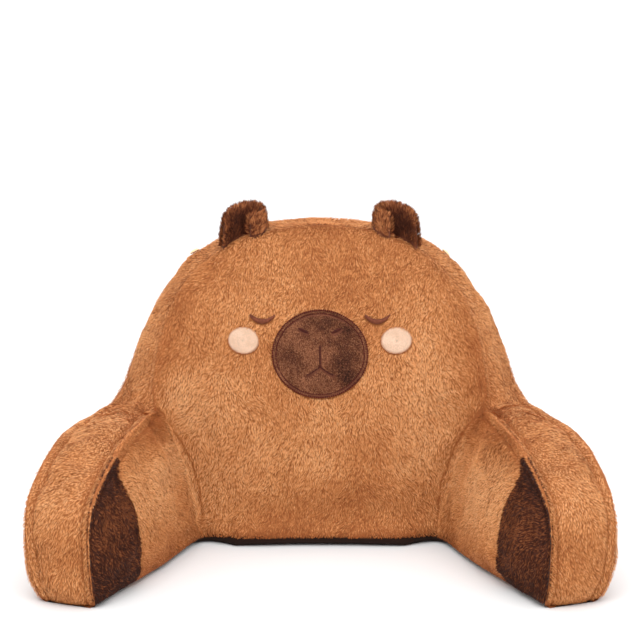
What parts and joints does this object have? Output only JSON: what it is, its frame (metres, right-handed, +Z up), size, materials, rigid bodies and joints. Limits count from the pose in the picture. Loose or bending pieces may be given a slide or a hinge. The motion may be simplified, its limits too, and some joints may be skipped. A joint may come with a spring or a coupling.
{
  "type": "reading pillow with arms",
  "caption": "Plush reading pillow: a rounded backrest with two arm rests, a round muzzle patch, closed eyes, cheek patches, folded ears and dark paw patches.",
  "frame": {"origin": "middle of the pillow's box at the surface that it stands on", "axes": "+Y from the arms' fronts towards the back, +Z up, +X to the right as seen from the front"},
  "size_m": [0.6748, 0.471, 0.4159],
  "materials": {
    "plush": "short pile plush, matt",
    "dark_plush": "short pile plush, matt",
    "muzzle_plush": "short pile plush, matt",
    "cheek_cloth": "felt, matt",
    "thread": "satin stitch",
    "cream": "satin"
  },
  "bodies": {
    "root": {"body": "plush", "muzzle_patch": "muzzle_plush", "cheek_left": "cheek_cloth", "cheek_right": "cheek_cloth", "eye_left": "thread", "eye_right": "thread", "paw_patch_left": "dark_plush", "paw_patch_right": "dark_plush", "ear_left": "plush", "ear_left_lining": "dark_plush", "ear_right": "plush", "ear_right_lining": "dark_plush", "button_left": "cream", "button_right": "cream"}
  },
  "joints": []
}
